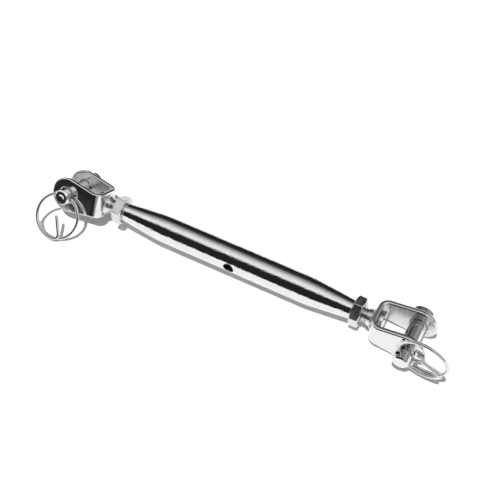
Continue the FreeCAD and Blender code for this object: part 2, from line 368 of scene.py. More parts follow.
class Mouth:
    """Where a round cross hole meets a cylinder about X, seen from outside or from inside it."""

    def __init__(self, cylinder, x, bearing, hole, rim, inside=False, mirrored=False):
        self.cylinder, self.x, self.bearing = cylinder, x, bearing
        self.hole, self.rim = hole, rim
        self.facing = -1 if inside else 1
        self.hand = -1 if mirrored else 1

    def on_cylinder(self, x, turn):
        return ring_point(x, self.cylinder, self.bearing + turn)

    def outward(self, turn):
        return ring_point(0, self.facing, self.bearing + turn)

    def at(self, reach, clock):
        """The spot on the cylinder at a distance from the hole's axis, as (x, turn)."""
        return (self.x + reach * cos(clock), self.hand * asin(reach * sin(clock) / self.cylinder))

    def cut(self, skin, rows, opening, clocks=None, steps=3, rim_steps=4):
        """Fills the opening in a turned surface up to the hole's wall.

        Gives back the wall's loop and the clock angle of each of its points."""
        row, n_rows, col, n_cols = opening
        columns = len(rows[0])
        first = -n_cols / 2
        path = [(0, k) for k in range(n_cols)]
        path += [(i, n_cols) for i in range(n_rows)]
        path += [(n_rows, n_cols - k) for k in range(n_cols)]
        path += [(n_rows - i, 0) for i in range(n_rows)]
        if self.hand < 0:
            path = [(i, n_cols - k) for i, k in path]
        edge = [rows[row + i][(col + k) % columns] for i, k in path]
        spots = [(skin.points[v].x, (first + k) * 2 * pi / columns) for v, (i, k) in zip(edge, path)]
        if clocks is None:
            clocks = [atan2(self.hand * turn * self.cylinder, x - self.x) for x, turn in spots]
        loop, normals = edge, [self.outward(turn) for x, turn in spots]
        for step in range(1, steps + 1):
            part = step / steps
            placed = []
            for (x, turn), clock in zip(spots, clocks):
                rim_x, rim_turn = self.at(self.hole + self.rim, clock)
                placed.append((x + (rim_x - x) * part, turn + (rim_turn - turn) * part))
            inner = [skin.add(self.on_cylinder(*spot)) for spot in placed]
            inner_normals = [self.outward(turn) for x, turn in placed]
            skin.bridge(loop, inner, normals, inner_normals)
            loop, normals = inner, inner_normals
        axis = ring_point(0, self.facing, self.bearing)
        for step in range(1, rim_steps + 1):
            dip = pi / 2 * step / rim_steps
            inner, inner_normals = [], []
            for clock in clocks:
                x, turn = self.at(self.hole + self.rim * (1 - sin(dip)), clock)
                inner.append(skin.add(self.on_cylinder(x, turn) - axis * self.rim * (1 - cos(dip))))
                inner_normals.append(self.outward(turn) * cos(dip) - self.across(clock) * sin(dip))
            skin.bridge(loop, inner, normals, inner_normals)
            loop, normals = inner, inner_normals
        return loop, clocks

    def across(self, clock):
        """The way from the hole's axis to its wall."""
        side = ring_point(0, self.hand, self.bearing + pi / 2)
        return Vector((cos(clock), 0, 0)) + side * sin(clock)


def hole_wall(skin, mouth, loop, other, clocks):
    inward = [-mouth.across(clock) for clock in clocks]
    skin.bridge(loop, other, inward, inward)


# Where each end's pieces go

def pin_axis(side):
    """The way from a clevis pin's head to its plain end."""
    return Vector(joints[side + "_clevis_pin_turn"]["axis"]).normalized()


def pin_place(side):
    return Vector(joints[side + "_clevis_pin_turn"]["pos_m"])


def end_axes(side):
    """Turns an end's own axes into the part's frame, about the origin."""
    outwards = Vector((1 if side == "right" else -1, 0, 0))
    to_head = -pin_axis(side)
    up = outwards.cross(to_head)
    return Matrix((outwards, to_head, up)).transposed().to_4x4()


def fork_base(side):
    """Distance from the origin to the outer face of a fork's base."""
    return abs(pin_place(side).x) - settings().fork.pin_reach


def ring_reach(side):
    """Distance from the body's axis to a pin's cross hole, along the pin."""
    crossing = Vector(joints[side + "_cotter_ring_swing"]["pos_m"])
    return (crossing - pin_place(side)).dot(pin_axis(side))


def ring_hinge(side):
    """The cross hole's line in the end's own axes."""
    line = Vector(joints[side + "_cotter_ring_swing"]["axis"]).normalized()
    return end_axes(side).to_3x3().inverted() @ line


def fit(piece, body, slot, *replaced):
    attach(piece, body)
    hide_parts(*replaced)


# Steel

def node_between(nodes, links, value, low, high, smooth=False):
    """How far a value lies between two others, from 0 to 1."""
    span = nodes.new("ShaderNodeMapRange")
    span.interpolation_type = "SMOOTHSTEP" if smooth else "LINEAR"
    span.inputs["From Min"].default_value = low
    span.inputs["From Max"].default_value = high
    links.new(value, span.inputs["Value"])
    return span.outputs["Result"]


def node_product(nodes, links, a, b):
    product = nodes.new("ShaderNodeMath")
    product.operation = "MULTIPLY"
    links.new(a, product.inputs[0])
    links.new(b, product.inputs[1])
    return product.outputs["Value"]


MARKS_SCALE = 1000.0       # of the fine marks
MARKS_ROUGHNESS = 0.65
CLOUD_DETAIL = 3.0         # of the broad patches
GLOSS_NOISE = (0.1, 0.4)   # the noise values that the gloss is spread over
SHADE_NOISE = (0.35, 0.65)
SHADE = 0.93               # how dark the darker patches are
WEAR_AND_HIGHLIGHT_EDGE = (0.53, 0.6)    # how pointed an edge is where the wear and the painted highlight begin and where they are full
WORN_GLOSS = 0.25          # roughness at the edges, as a share of the rest
EDGE_HIGHLIGHT_TINT = 1.12           # how much lighter the edges' colour is painted, a painted highlight
# the lightest colour that the painted edge highlight may reach
BRIGHTEST = 0.92
WAVE_SHARE = 0.6           # of the ripple, for the broad waves
WAVE_DEPTH = 0.0004
EVEN = (1.0, 1.0, 1.0)     # marks that run no way in particular


def steel(name, tint, roughness, ripple, grain, patch, spread, pitting=1.0, depth=0.00003,
          detail=5.0):
    """Polished steel whose gloss and fine marks vary, whose edges handling has polished, and whose
    edges are painted lighter as a highlight.

    grain stretches the fine marks along each axis, patch is the scale of the broad ones, spread is
    how far the gloss varies, and pitting and depth are the fine marks' strength and height."""
    material = bpy.data.materials.new(name)
    material.use_nodes = True
    nodes, links = material.node_tree.nodes, material.node_tree.links
    shader = nodes["Principled BSDF"]
    shader.inputs["Metallic"].default_value = 1.0
    place = nodes.new("ShaderNodeTexCoord")

    stretch = nodes.new("ShaderNodeMapping")
    stretch.inputs["Scale"].default_value = grain
    links.new(place.outputs["Object"], stretch.inputs["Vector"])
    marks = nodes.new("ShaderNodeTexNoise")
    marks.inputs["Scale"].default_value = MARKS_SCALE
    marks.inputs["Detail"].default_value = detail
    marks.inputs["Roughness"].default_value = MARKS_ROUGHNESS
    links.new(stretch.outputs["Vector"], marks.inputs["Vector"])

    cloud = nodes.new("ShaderNodeTexNoise")
    cloud.inputs["Scale"].default_value = patch
    cloud.inputs["Detail"].default_value = CLOUD_DETAIL
    links.new(place.outputs["Object"], cloud.inputs["Vector"])

    both = node_product(nodes, links, marks.outputs["Fac"], cloud.outputs["Fac"])
    gloss = nodes.new("ShaderNodeMapRange")
    gloss.inputs["From Min"].default_value = GLOSS_NOISE[0]
    gloss.inputs["From Max"].default_value = GLOSS_NOISE[1]
    gloss.inputs["To Min"].default_value = roughness * (1 - spread)
    gloss.inputs["To Max"].default_value = roughness * (1 + spread)
    links.new(both, gloss.inputs["Value"])

    shade = nodes.new("ShaderNodeValToRGB")
    dark, light = shade.color_ramp.elements
    dark.position, light.position = SHADE_NOISE
    dark.color = (*[c * SHADE for c in tint], 1)
    light.color = (*tint, 1)
    links.new(cloud.outputs["Fac"], shade.inputs["Fac"])
    form = nodes.new("ShaderNodeNewGeometry")
    wear_and_highlight = node_between(nodes, links, form.outputs["Pointiness"], *WEAR_AND_HIGHLIGHT_EDGE, True)
    rubbed = nodes.new("ShaderNodeMapRange")
    rubbed.inputs["To Min"].default_value = 1.0
    rubbed.inputs["To Max"].default_value = WORN_GLOSS
    links.new(wear_and_highlight, rubbed.inputs["Value"])
    finish = node_product(nodes, links, gloss.outputs["Result"], rubbed.outputs["Result"])
    links.new(finish, shader.inputs["Roughness"])
    # painted highlight: the edges' colour is made lighter, besides their smoother wear
    bright = nodes.new("ShaderNodeMix")
    bright.data_type = "RGBA"
    links.new(wear_and_highlight, bright.inputs[0])
    links.new(shade.outputs["Color"], bright.inputs[6])
    bright.inputs[7].default_value = (*[min(BRIGHTEST, c * EDGE_HIGHLIGHT_TINT) for c in tint], 1)
    links.new(bright.outputs[2], shader.inputs["Base Color"])

    wave = nodes.new("ShaderNodeBump")
    wave.inputs["Strength"].default_value = ripple * WAVE_SHARE
    wave.inputs["Distance"].default_value = WAVE_DEPTH
    links.new(cloud.outputs["Fac"], wave.inputs["Height"])
    scratch = nodes.new("ShaderNodeBump")
    scratch.inputs["Strength"].default_value = min(1.0, ripple * pitting)
    scratch.inputs["Distance"].default_value = depth
    links.new(marks.outputs["Fac"], scratch.inputs["Height"])
    links.new(wave.outputs["Normal"], scratch.inputs["Normal"])
    links.new(scratch.outputs["Normal"], shader.inputs["Normal"])
    return material


def buffed_steel():
    """The tube: drawn, then buffed, so its marks run along the barrel."""
    f = settings().finish
    return steel("buffed_steel", f.steel, f.gloss, f.ripple, (0.4, 1.3, 1.3), 240.0, 0.5,
                 pitting=8.0, depth=0.00006, detail=2.0)


def bored_shaded_steel():
    """The tube's inside, left dull from boring and tapping, with its colour darkened as painted
    shade.
    """
    f = settings().finish
    # painted shade: the inside's colour is set at 0.35 of the turned steel's
    dull = [c * 0.35 for c in f.cut_steel]
    return steel("bored_shaded_steel", dull, 0.45, f.ripple, EVEN, 300.0, 0.3)


def pressed_steel():
    """The forks: bent, then buffed along the strap, a little wavy on the flats."""
    f = settings().finish
    return steel("pressed_steel", f.steel, f.fork_gloss, f.ripple, (0.6, 2.5, 2.5), 150.0, 0.35)


def brushed_steel():
    """The forks' inner faces, which the buffing wheel doesn't reach."""
    f = settings().finish
    return steel("brushed_steel", f.steel, f.inner_gloss, f.ripple * 2, (0.4, 3.0, 3.0), 150.0, 0.3)


def welded_steel():
    """The uneven bead that holds a stud to its fork."""
    f = settings().finish
    return steel("welded_steel", f.steel, f.cut_gloss * 1.9, 1.0, EVEN, 620.0, 0.4)


def milled_steel():
    """The lock nuts, milled and left as they were cut."""
    f = settings().finish
    return steel("milled_steel", f.cut_steel, f.nut_gloss, f.ripple, (2.0, 1.0, 1.0), 300.0, 0.35)


def turned_steel():
    """The clevis pins, with the lathe's marks round them."""
    f = settings().finish
    return steel("turned_steel", f.steel, f.pin_gloss, f.ripple * 0.5, (1.0, 4.0, 1.0), 260.0, 0.4)


def rolled_steel():
    """The studs' rolled threads."""
    f = settings().finish
    return steel("rolled_thread_steel", f.cut_steel, f.cut_gloss * 1.2, f.ripple, EVEN, 500.0, 0.3)


def drawn_wire():
    """The rings' spring wire."""
    f = settings().finish
    return steel("drawn_wire", f.wire_steel, f.gloss, f.ripple * 0.1, EVEN, 400.0, 0.3)


# The barrel

TUBE_LIP = 0.0003        # rounding of the outer rim at each end
BORE_CHAMFER = 0.0004    # at each mouth of the bore
STEP_ROUND = 0.001       # where the tapped ends open into the tube
PATCH_ALONG = 0.0016     # how far the fine faces reach past the cross hole along the barrel
PATCH_ROUND = 0.001      # and round it
PATCH_ROWS = 12
BORED_FROM = 0.8         # share of the wall inside which a face counts as bored
MOUTH_FACE = 0.0002      # how near an end a face counts as the end's own


def barrel_corners(sizes, bore):
    """The tube's section as one closed outline: outside, right end, inside, left end."""
    half, radius, end = sizes.length / 2, sizes.diameter / 2, sizes.end_diameter / 2
    run, rise = sizes.taper, end - radius + sizes.shoulder_radius
    slope = atan2(run, rise) - acos(sizes.shoulder_radius / hypot(run, rise))
    shoulder = half - sizes.taper + sizes.shoulder_radius * tan(slope / 2)
    inner = radius - sizes.wall
    step = half - sizes.tapped_depth
    bend, mouth = sizes.shoulder_radius, bore + BORE_CHAMFER
    return [
        (-half, mouth, 0.0), (-half, end, TUBE_LIP), (-shoulder, radius, bend),
        (shoulder, radius, bend), (half, end, TUBE_LIP), (half, mouth, 0.0),
        (half - BORE_CHAMFER, bore, 0.0), (step, bore, 0.0),
        (step - 2 * sizes.wall, inner, STEP_ROUND), (2 * sizes.wall - step, inner, STEP_ROUND),
        (-step, bore, 0.0), (BORE_CHAMFER - half, bore, 0.0),
    ]


def make_barrel():
    s = settings()
    sizes = s.barrel
    hole, rim = sizes.hole_diameter / 2, sizes.hole_round
    radius, inner = sizes.diameter / 2, sizes.diameter / 2 - sizes.wall
    reach, parts = hole + PATCH_ALONG, PATCH_ROWS
    half_cols = ceil(sizes.columns * asin((hole + PATCH_ROUND) / inner) / (2 * pi))
    section = outline(barrel_corners(sizes, s.thread.diameter / 2 + s.thread.play), True, 12)
    section, outer_row = divided(section, -reach, reach, parts)
    outside = section[:outer_row + parts + 2]
    rest, inner_row = divided(section[outer_row + parts + 2:], -reach, reach, parts)
    inner_row += len(outside)
    section = outside + rest

    skin = Skin()
    bearings = (0.0, pi)
    opened = {}
    for bearing in bearings:
        col = round(bearing / (2 * pi) * sizes.columns) - half_cols
        opened[bearing] = [(row, parts, col, 2 * half_cols) for row in (outer_row, inner_row)]
    rows = turned(skin, section, sizes.columns, 0.0, True, opened[0.0] + opened[pi])
    for bearing in bearings:
        outer = Mouth(radius, 0.0, bearing, hole, rim)
        loop, clocks = outer.cut(skin, rows, opened[bearing][0])
        inside = Mouth(inner, 0.0, bearing, hole, rim / 3, inside=True)
        row, n_rows, col, n_cols = opened[bearing][1]
        flipped = list(rows)
        flipped[row:row + n_rows + 1] = rows[row:row + n_rows + 1][::-1]
        other, clocks = inside.cut(skin, flipped, opened[bearing][1], clocks, steps=2)
        hole_wall(skin, outer, loop, other, clocks)
    piece = skin.build("barrel_tube", Matrix(), buffed_steel())
    piece.data.materials.append(bored_shaded_steel())
    # faces inside the tube take the darker steel, a painted shade
    for face in piece.data.polygons:
        x, y, z = face.center
        within = hypot(y, z) < radius - sizes.wall * BORED_FROM
        if within and abs(x) < sizes.length / 2 - MOUTH_FACE:
            face.material_index = 1
    fit(piece, "barrel", "polished_steel", "barrel")


# The lock nuts

HALF_FLAT = radians(30)      # half the turn from one corner of a hexagon to the next
NUT_CHAMFER = radians(30)
THREAD_FLANK = radians(30)


def hexagon(across, rounding, flat_steps=10, corner_steps=5):
    """Points of a hexagon with rounded corners, with their normals, as (y, z) pairs."""
    points = []
    half = across / 2
    corner = (half - rounding) / cos(HALF_FLAT)
    reach = (half - rounding) * tan(HALF_FLAT)
    for side in range(6):
        facing = radians(60 * side)
        normal = Vector((cos(facing), sin(facing)))
        along = Vector((-sin(facing), cos(facing)))
        for k in range(flat_steps):
            points.append((normal * half + along * reach * (2 * k / flat_steps - 1), normal))
        centre = Vector((cos(facing + HALF_FLAT), sin(facing + HALF_FLAT))) * corner
        for k in range(corner_steps):
            turn = facing + radians(60) * k / corner_steps
            bent = Vector((cos(turn), sin(turn)))
            points.append((centre + bent * rounding, bent))
    return points


def spread_normal(normal, radial, facing):
    """A section's normal set round the nut: towards the flat's own way where the side is upright."""
    flat = max(0.0, (normal.y - cos(HALF_FLAT)) / (1 - cos(HALF_FLAT)))
    way = radial.lerp(facing, min(1.0, flat)) if normal.y > 0 else radial
    return Vector((normal.x, *(way * normal.y)))


def make_lock_nut(side):
    s = settings()
    sizes = s.nut
    bore = s.thread.diameter / 2 + s.thread.play
    face, thick, sink = sizes.face_diameter / 2, sizes.thickness, sizes.countersink
    skin = Skin()
    loops, lasts, firsts = [], [], []
    for spot, facing in hexagon(sizes.across_flats, sizes.corner_round):
        reach = spot.length
        radial = spot.normalized()
        drop = (reach - face) * tan(NUT_CHAMFER)
        edge = sizes.edge_round
        column = outline([
            (sink, bore, 0.0), (0.0, bore + sink, edge / 2), (0.0, face, edge), (drop, reach, edge),
            (thick - drop, reach, edge), (thick, face, edge), (thick, bore + sink, edge / 2),
            (thick - sink, bore, 0.0),
        ], True, 3)
        loops.append([skin.add((v.x, *(radial * v.r))) for v in column])
        firsts.append([spread_normal(v.before, radial, facing) for v in column])
        lasts.append([spread_normal(v.after, radial, facing) for v in column])
    for k in range(len(loops)):
        for i in range(len(loops[k])):
            j = i - 1
            skin.face([loops[k - 1][j], loops[k][j], loops[k][i], loops[k - 1][i]],
                      [lasts[k - 1][j], lasts[k][j], firsts[k][i], firsts[k - 1][i]])
    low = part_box(side + "_lock_nut")[0]
    roll = (sizes.left_roll if side == "left" else sizes.right_roll) + pi / 2 + HALF_FLAT
    place = Matrix.Translation((low.x, 0, 0)) @ Matrix.Rotation(roll, 4, "X")
    piece = skin.build(side + "_lock_nut_hexagon", place, milled_steel())
    fit(piece, side + "_lock_nut", "turned_steel", side + "_lock_nut")


# The studs

# A rolled thread's depth, flat crest and the easing of its corners, as shares of the pitch
THREAD_DEPTH = 0.6134
CREST = 0.125
EASE = 0.035

NECK_LAP = 0.0004        # how far the neck runs into the thread
NECK_CORE = 0.88         # its radius there, as a share of the stud's
NECK_ROUND = 0.0003      # where it comes out of the thread
BEAD_START = 0.0006      # from the foot of the weld bead to its hollow
BEAD_ROOT = 1.12         # radius of that hollow, as a share of the stud's
BEAD_HOLLOW = 0.0011     # rounding of the hollow
BEAD_RIM = 0.0002        # rounding of the bead's rim
BEAD_GAP = 0.00003       # between the bead and the fork


def thread_levels(radius, pitch):
    """One turn of a rolled thread as (share of the pitch, radius) corners, crest first."""
    depth = THREAD_DEPTH * pitch
    flank = depth * tan(THREAD_FLANK) / pitch
    root = 1 - CREST - 2 * flank
    dip = EASE * pitch * 0.5
    bottom, rise = CREST + flank, CREST + flank + root
    return [
        (0.0, radius), (CREST, radius), (CREST + EASE, radius - dip),
        (bottom - EASE, radius - depth + dip), (bottom, radius - depth),
        (rise, radius - depth), (rise + EASE, radius - depth + dip), (1 - EASE, radius - dip),
    ]


def clipped(corners, low, high):
    """A polygon of (point, normal) pairs cut off below low and above high along X."""
    for limit, sign in ((low, 1), (high, -1)):
        kept = []
        for i, (spot, normal) in enumerate(corners):
            other = corners[i - 1][0]
            here, there = (spot.x - limit) * sign, (other.x - limit) * sign
            if here * there < 0:
                (a, way_a), (b, way_b) = sorted((corners[i], corners[i - 1]), key=lambda c: c[0].x)
                part = (limit - a.x) / (b.x - a.x)
                cut = a.lerp(b, part)
                cut.x = limit
                kept.append((cut, way_a.lerp(way_b, part)))
            if here >= 0:
                kept.append((spot, normal))
        corners = kept
    return corners


def add_thread(skin, radius, pitch, start, end, columns, hand):
    """A threaded rod from start to end along X, right-handed for hand 1, left-handed for -1."""
    levels = thread_levels(radius, pitch)
    lead = pitch / (2 * pi)
    known, rims = {}, {start: [], end: []}

    def corner(spot):
        key = tuple(round(v / NEAR) for v in spot)
        if key not in known:
            known[key] = skin.add(spot)
        return known[key]

    def helix(x, r, turn):
        return Vector((x + lead * turn, r * cos(hand * turn), r * sin(hand * turn)))

    for coil in range(floor(start / pitch) - 2, ceil(end / pitch) + 1):
        for i, (share_a, r_a) in enumerate(levels):
            share_b, r_b = levels[(i + 1) % len(levels)]
            share_b += 1 if i == len(levels) - 1 else 0
            x_a, x_b = (coil + share_a) * pitch, (coil + share_b) * pitch
            slope = Vector((r_a - r_b, x_b - x_a)).normalized()
            for k in range(columns):
                quad = []
                corners = ((x_a, r_a, k), (x_a, r_a, k + 1), (x_b, r_b, k + 1), (x_b, r_b, k))
                for x, r, column in corners:
                    turn = column * (2 * pi / columns)
                    up, out = sin(hand * turn), cos(hand * turn)
                    normal = Vector((slope.x, slope.y * out, slope.y * up))
                    along = Vector((lead, -hand * r * up, hand * r * out))
                    normal -= along * (normal.dot(along) / along.length_squared)
                    quad.append((helix(x, r, turn), normal))
                quad = clipped(quad, start, end)
                if len(quad) < 3:
                    continue
                spots = [corner(spot) for spot, normal in quad]
                skin.face(spots, [normal for spot, normal in quad])
                for j, spot in enumerate(spots):
                    for limit, rim in rims.items():
                        pair = (spots[j - 1], spot)
                        on_rim = all(abs(skin.points[v].x - limit) < NEAR for v in pair)
                        if on_rim and pair[0] != pair[1]:
                            rim.append(pair)
    for limit, rim in rims.items():
        way = Vector((-1 if limit == start else 1, 0, 0))
        middle = skin.add((limit, 0, 0))
        for a, b in rim:
            skin.face([middle, a, b], [way] * 3)


def make_stud(side):
    s = settings()
    thread, fork = s.thread, s.fork
    radius, base = thread.diameter / 2, fork_base(side)
    low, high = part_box(side + "_stud")
    inner = min(abs(low.x), abs(high.x))
    skin = Skin()
    hand = 1 if side == "right" else -1
    start = base - thread.weld_length
    add_thread(skin, radius, thread.pitch, inner, start, thread.columns, hand)
    seat = base + fork.strap
    top, head = seat + thread.head_thickness, thread.head_diameter / 2
    seat_flat = fork.jaw / 2 - fork.bend_radius
    seat_round = head - seat_flat
    dome = thread.head_thickness - seat_round
    bead, foot = thread.weld_diameter / 2, base - BEAD_GAP
    lap = start - NECK_LAP
    thread_faces = len(skin.faces)
    neck = outline([
        (lap, 0.0, 0.0), (lap, radius * NECK_CORE, 0.0), (start, radius, NECK_ROUND),
        (foot - BEAD_START, radius * BEAD_ROOT, BEAD_HOLLOW), (foot, bead, BEAD_RIM),
        (foot, radius, 0.0), (seat, radius, 0.0), (seat, head, seat_round), (top, head, dome),
        (top, 0.0, 0.0),
    ], False, 8)
    turned(skin, neck, thread.columns)
    piece = skin.build(side + "_stud_thread", end_axes(side), rolled_steel())
    piece.data.materials.append(welded_steel())
    for face in piece.data.polygons[thread_faces:]:
        if abs(face.center.x) < foot + EPSILON:
            face.material_index = 1
    fit(piece, side + "_stud", "turned_steel", side + "_stud")


# The forks

HOLE_STEPS = 64


class Blank:
    """The fork's flat strap, and how its bends carry it into a U.

    A place on it is (along, across, depth): along from the middle of the base, across from the
    centre line, and depth from the outer face."""

    def __init__(self, sizes):
        self.s = sizes
        self.outer = sizes.bend_radius + sizes.strap
        self.flat = sizes.jaw / 2 - sizes.bend_radius
        self.middle = sizes.bend_radius + sizes.strap / 2
        self.bend = self.middle * pi / 2
        self.eye = self.flat + self.bend + sizes.pin_reach - self.outer

    def bent(self, along, across, depth):
        """The point, the way along the strap and the way out of its outer face."""
        side = -1 if along < 0 else 1
        gone = abs(along)
        if gone <= self.flat:
            return (Vector((depth, along, across)), Vector((0, 1, 0)), Vector((-1, 0, 0)))
        if gone <= self.flat + self.bend:
            turn = (gone - self.flat) / self.middle
            out = Vector((-cos(turn), side * sin(turn), 0))
            centre = Vector((self.outer, side * self.flat, across))
            way = Vector((side * sin(turn), cos(turn), 0))
            return (centre + out * (self.outer - depth), way, out)
        run = gone - self.flat - self.bend
        spot = Vector((self.outer + run, side * (self.s.jaw / 2 + self.s.strap - depth), across))
        return (spot, Vector((side, 0, 0)), Vector((0, side, 0)))

    def edge(self, bend_steps=10, eye_steps=44):
        """The blank's outline as (along, across) points and outward normals, anticlockwise."""
        half, eye = self.s.base_width / 2, self.s.eye_diameter / 2
        knee = self.flat + self.bend
        run = self.eye - knee
        lean = pi - atan2(half, run) - acos(eye / hypot(run, half))
        quarter = [(Vector((0.0, half)), Vector((0, 1)))]
        for k in range(bend_steps + 1):
            quarter.append((Vector((self.flat + self.bend * k / bend_steps, half)), Vector((0, 1))))
        straight = Vector((self.eye + eye * cos(lean), eye * sin(lean)))
        slant = (straight - Vector((knee, half))).normalized()
        kink = atan2(slant.y, slant.x)
        quarter[-1] = (quarter[-1][0], Vector((-sin(kink / 2), cos(kink / 2))))
        for k in range(eye_steps // 2):
            turn = lean * (1 - k / (eye_steps // 2))
            out = Vector((cos(turn), sin(turn)))
            quarter.append((Vector((self.eye, 0)) + out * eye, out))
        quarter.append((Vector((self.eye + eye, 0)), Vector((1, 0))))

        def mirrored(points, x, y):
            return [(Vector((p.x * x, p.y * y)), Vector((n.x * x, n.y * y))) for p, n in points]

        right_low = mirrored(quarter, 1, -1)
        left_low = mirrored(quarter[1:-1], -1, -1)
        left_top = mirrored(quarter[1:], -1, 1)
        return right_low + quarter[:-1][::-1] + left_top + left_low[::-1]


def circle(centre, radius, steps):
    """A round hole's edge, with the normals pointing into the hole."""
    points = []
    for k in range(steps):
        out = Vector((cos(2 * pi * k / steps), sin(2 * pi * k / steps)))
        points.append((Vector((centre, 0)) + out * radius, -out))
    return points


def inside(spot, loop):
    """Whether a spot lies within a loop of straight lines."""
    crossings = 0
    for i, here in enumerate(loop):
        last = loop[i - 1]
        if (here.y > spot.y) != (last.y > spot.y):
            across = (spot.y - here.y) / (last.y - here.y)
            crossings += spot.x < here.x + (last.x - here.x) * across
    return crossings % 2 == 1


def strap_wall(skin, blank, edge, rounding, steps=4):
    """The rounded wall along an outline or a hole, and the loops where it meets the two faces."""
    thick = blank.s.strap
    levels = []
    for top in (True, False):
        for k in range(steps + 1):
            dip = pi / 2 * (k / steps if top else 1 + k / steps)
            depth = rounding * (1 - cos(dip)) if top else thick - rounding * (1 + cos(dip))
            levels.append((rounding * (1 - sin(dip)), depth, dip))
    loops, normals = [], []
    for inset, depth, dip in levels:
        loop, loop_normals = [], []
        for spot, out in edge:
            flat = spot - out * inset
            place, way, face = blank.bent(flat.x, flat.y, depth)
            side = way * out.x + Vector((0, 0, out.y))
            loop.append(skin.add(place))
            loop_normals.append(face * cos(dip) + side * sin(dip))
        loops.append(loop)
        normals.append(loop_normals)
    for k in range(len(loops) - 1):
        skin.bridge(loops[k], loops[k + 1], normals[k], normals[k + 1])
    return loops[0], loops[-1], [spot - out * rounding for spot, out in edge]


def make_fork(side):
    s = settings()
    blank = Blank(s.fork)
    skin = Skin()
    pin_rim, stud_rim = s.fork.pin_hole_round, s.fork.stud_hole_round
    pin_hole = s.pin.diameter / 2 + s.pin.play
    stud_hole = s.thread.diameter / 2 + s.thread.play
    edges = [(blank.edge(), s.fork.edge_round), (circle(0.0, stud_hole, HOLE_STEPS), stud_rim)]
    edges += [(circle(eye, pin_hole, HOLE_STEPS), pin_rim) for eye in (blank.eye, -blank.eye)]
    flat, outer, inner, segments, loops = [], [], [], [], []
    for edge, rounding in edges:
        top, bottom, places = strap_wall(skin, blank, edge, rounding)
        loops.append(places)
        first = len(flat)
        segments += [(first + k, first + (k + 1) % len(edge)) for k in range(len(edge))]
        flat += places
        outer += top
        inner += bottom
    outline_size = len(edges[0][0])
    for k in range(outline_size):
        for j in range(k):
            level = abs(flat[k].x - flat[j].x) < EPSILON and flat[k].y * flat[j].y < 0
            if level and stud_hole + stud_rim < abs(flat[k].x) < blank.flat + blank.bend + EPSILON:
                segments.append((j, k))
    dull = []
    points, _, faces, origins, _, _ = delaunay_2d_cdt(flat, segments, [], 0, EPSILON, True)
    if len(points) != len(flat):
        raise RuntimeError("the fork's outline crosses itself")
    for face in faces:
        middle = sum((points[v] for v in face), Vector((0, 0))) / len(face)
        if sum(inside(middle, loop) for loop in loops) != 1:
            continue
        corners = [origins[v][0] for v in face]
        ways = [blank.bent(flat[v].x, 0, 0)[2] for v in corners]
        skin.face([outer[v] for v in corners], ways)
        dull.append(len(skin.faces))
        skin.face([inner[v] for v in corners], [-way for way in ways])
    place = end_axes(side) @ Matrix.Translation((fork_base(side), 0, 0))
    piece = skin.build(side + "_fork_strap", place, pressed_steel())
    piece.data.materials.append(brushed_steel())
    for index in dull:
        piece.data.polygons[index].material_index = 1
    fit(piece, side + "_fork", "polished_steel", side + "_fork")


# The clevis pins

PIN_HOLE_ROUND = 0.00015     # rounding of the cross hole's rims
PIN_EDGE = 0.00012           # rounding of the turned edges
PIN_RELIEF = 0.0001          # rounding under the head
PIN_PATCH = 0.0005           # how far the fine faces reach past the cross hole along the pin
PIN_PATCH_ROUND = 0.12       # and round it, in radians
PIN_PATCH_ROWS = 6


def make_clevis_pin(side):
    s = settings()
    sizes = s.pin
    radius, head = sizes.diameter / 2, sizes.head_diameter / 2
    hole, rim = sizes.hole_diameter / 2, PIN_HOLE_ROUND
    end = -ring_reach(side) - sizes.hole_from_end
    hole_x = -ring_reach(side)
    seat = end + sizes.shank
    top = seat + sizes.head_thickness
    chamfer, edge = sizes.end_chamfer, PIN_EDGE
    dimple, depth = sizes.dimple_diameter / 2, sizes.dimple_depth
    section = outline([
        (end + depth, 0.0, 0.0), (end + depth * 0.8, dimple * 0.5, dimple * 0.4),
        (end, dimple, edge), (end, radius - chamfer, edge), (end + chamfer, radius, edge * 2),
        (seat, radius, PIN_RELIEF), (seat, head, edge), (top, head, sizes.head_round),
        (top, 0.0, 0.0),
    ])
    reach, parts = hole + rim + PIN_PATCH, PIN_PATCH_ROWS
    section, row = divided(section, hole_x - reach, hole_x + reach, parts)
    line = ring_hinge(side)
    bearing = atan2(line.z, -line.x)
    half_turn = asin((hole + rim) / radius) + PIN_PATCH_ROUND
    half_cols = ceil(sizes.columns * half_turn / (2 * pi))
    openings = [(row, parts, -half_cols, 2 * half_cols),
                (row, parts, sizes.columns // 2 - half_cols, 2 * half_cols)]
    skin = Skin()
    rows = turned(skin, section, sizes.columns, bearing, False, openings)
    near = Mouth(radius, hole_x, bearing, hole, rim)
    far = Mouth(radius, hole_x, bearing + pi, hole, rim, mirrored=True)
    loop, clocks = near.cut(skin, rows, openings[0])
    other, _ = far.cut(skin, rows, openings[1], clocks)
    hole_wall(skin, near, loop, other, clocks)
    place = end_axes(side) @ Matrix.Translation((abs(pin_place(side).x), 0, 0))
    place = place @ Matrix.Rotation(pi / 2, 4, "Z")
    piece = skin.build(side + "_clevis_pin_shank", place, turned_steel())
    fit(piece, side + "_clevis_pin", "turned_steel", side + "_clevis_pin")


# The cotter rings

TIP_LENGTH = 0.6     # of a wire's rounded tip, as a share of its radius


